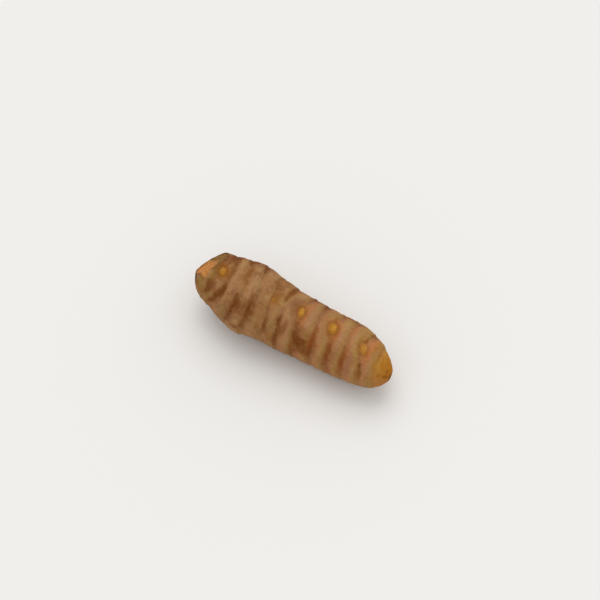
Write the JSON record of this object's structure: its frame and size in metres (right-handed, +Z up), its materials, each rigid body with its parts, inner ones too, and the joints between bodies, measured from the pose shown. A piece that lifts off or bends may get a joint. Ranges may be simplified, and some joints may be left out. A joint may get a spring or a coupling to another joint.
{
  "type": "turmeric root",
  "caption": "Fresh turmeric rhizome finger with ringed tan skin, small buds, a golden tip and a snapped orange base, lying on a surface as produce.",
  "frame": {"origin": "on the surface the root lies on, under the middle of its bounding box", "axes": "+X along the root from the snapped base to the growing tip, +Z up"},
  "size_m": [0.076, 0.0253, 0.0244],
  "materials": {
    "turmeric_skin": "dull, faintly waxy root skin: pinkish tan with olive bands, dark brown leaf-scar rings, amber buds and tip, and orange flesh at the snapped base"
  },
  "bodies": {
    "root": {"turmeric_root": "turmeric_skin"}
  },
  "joints": []
}
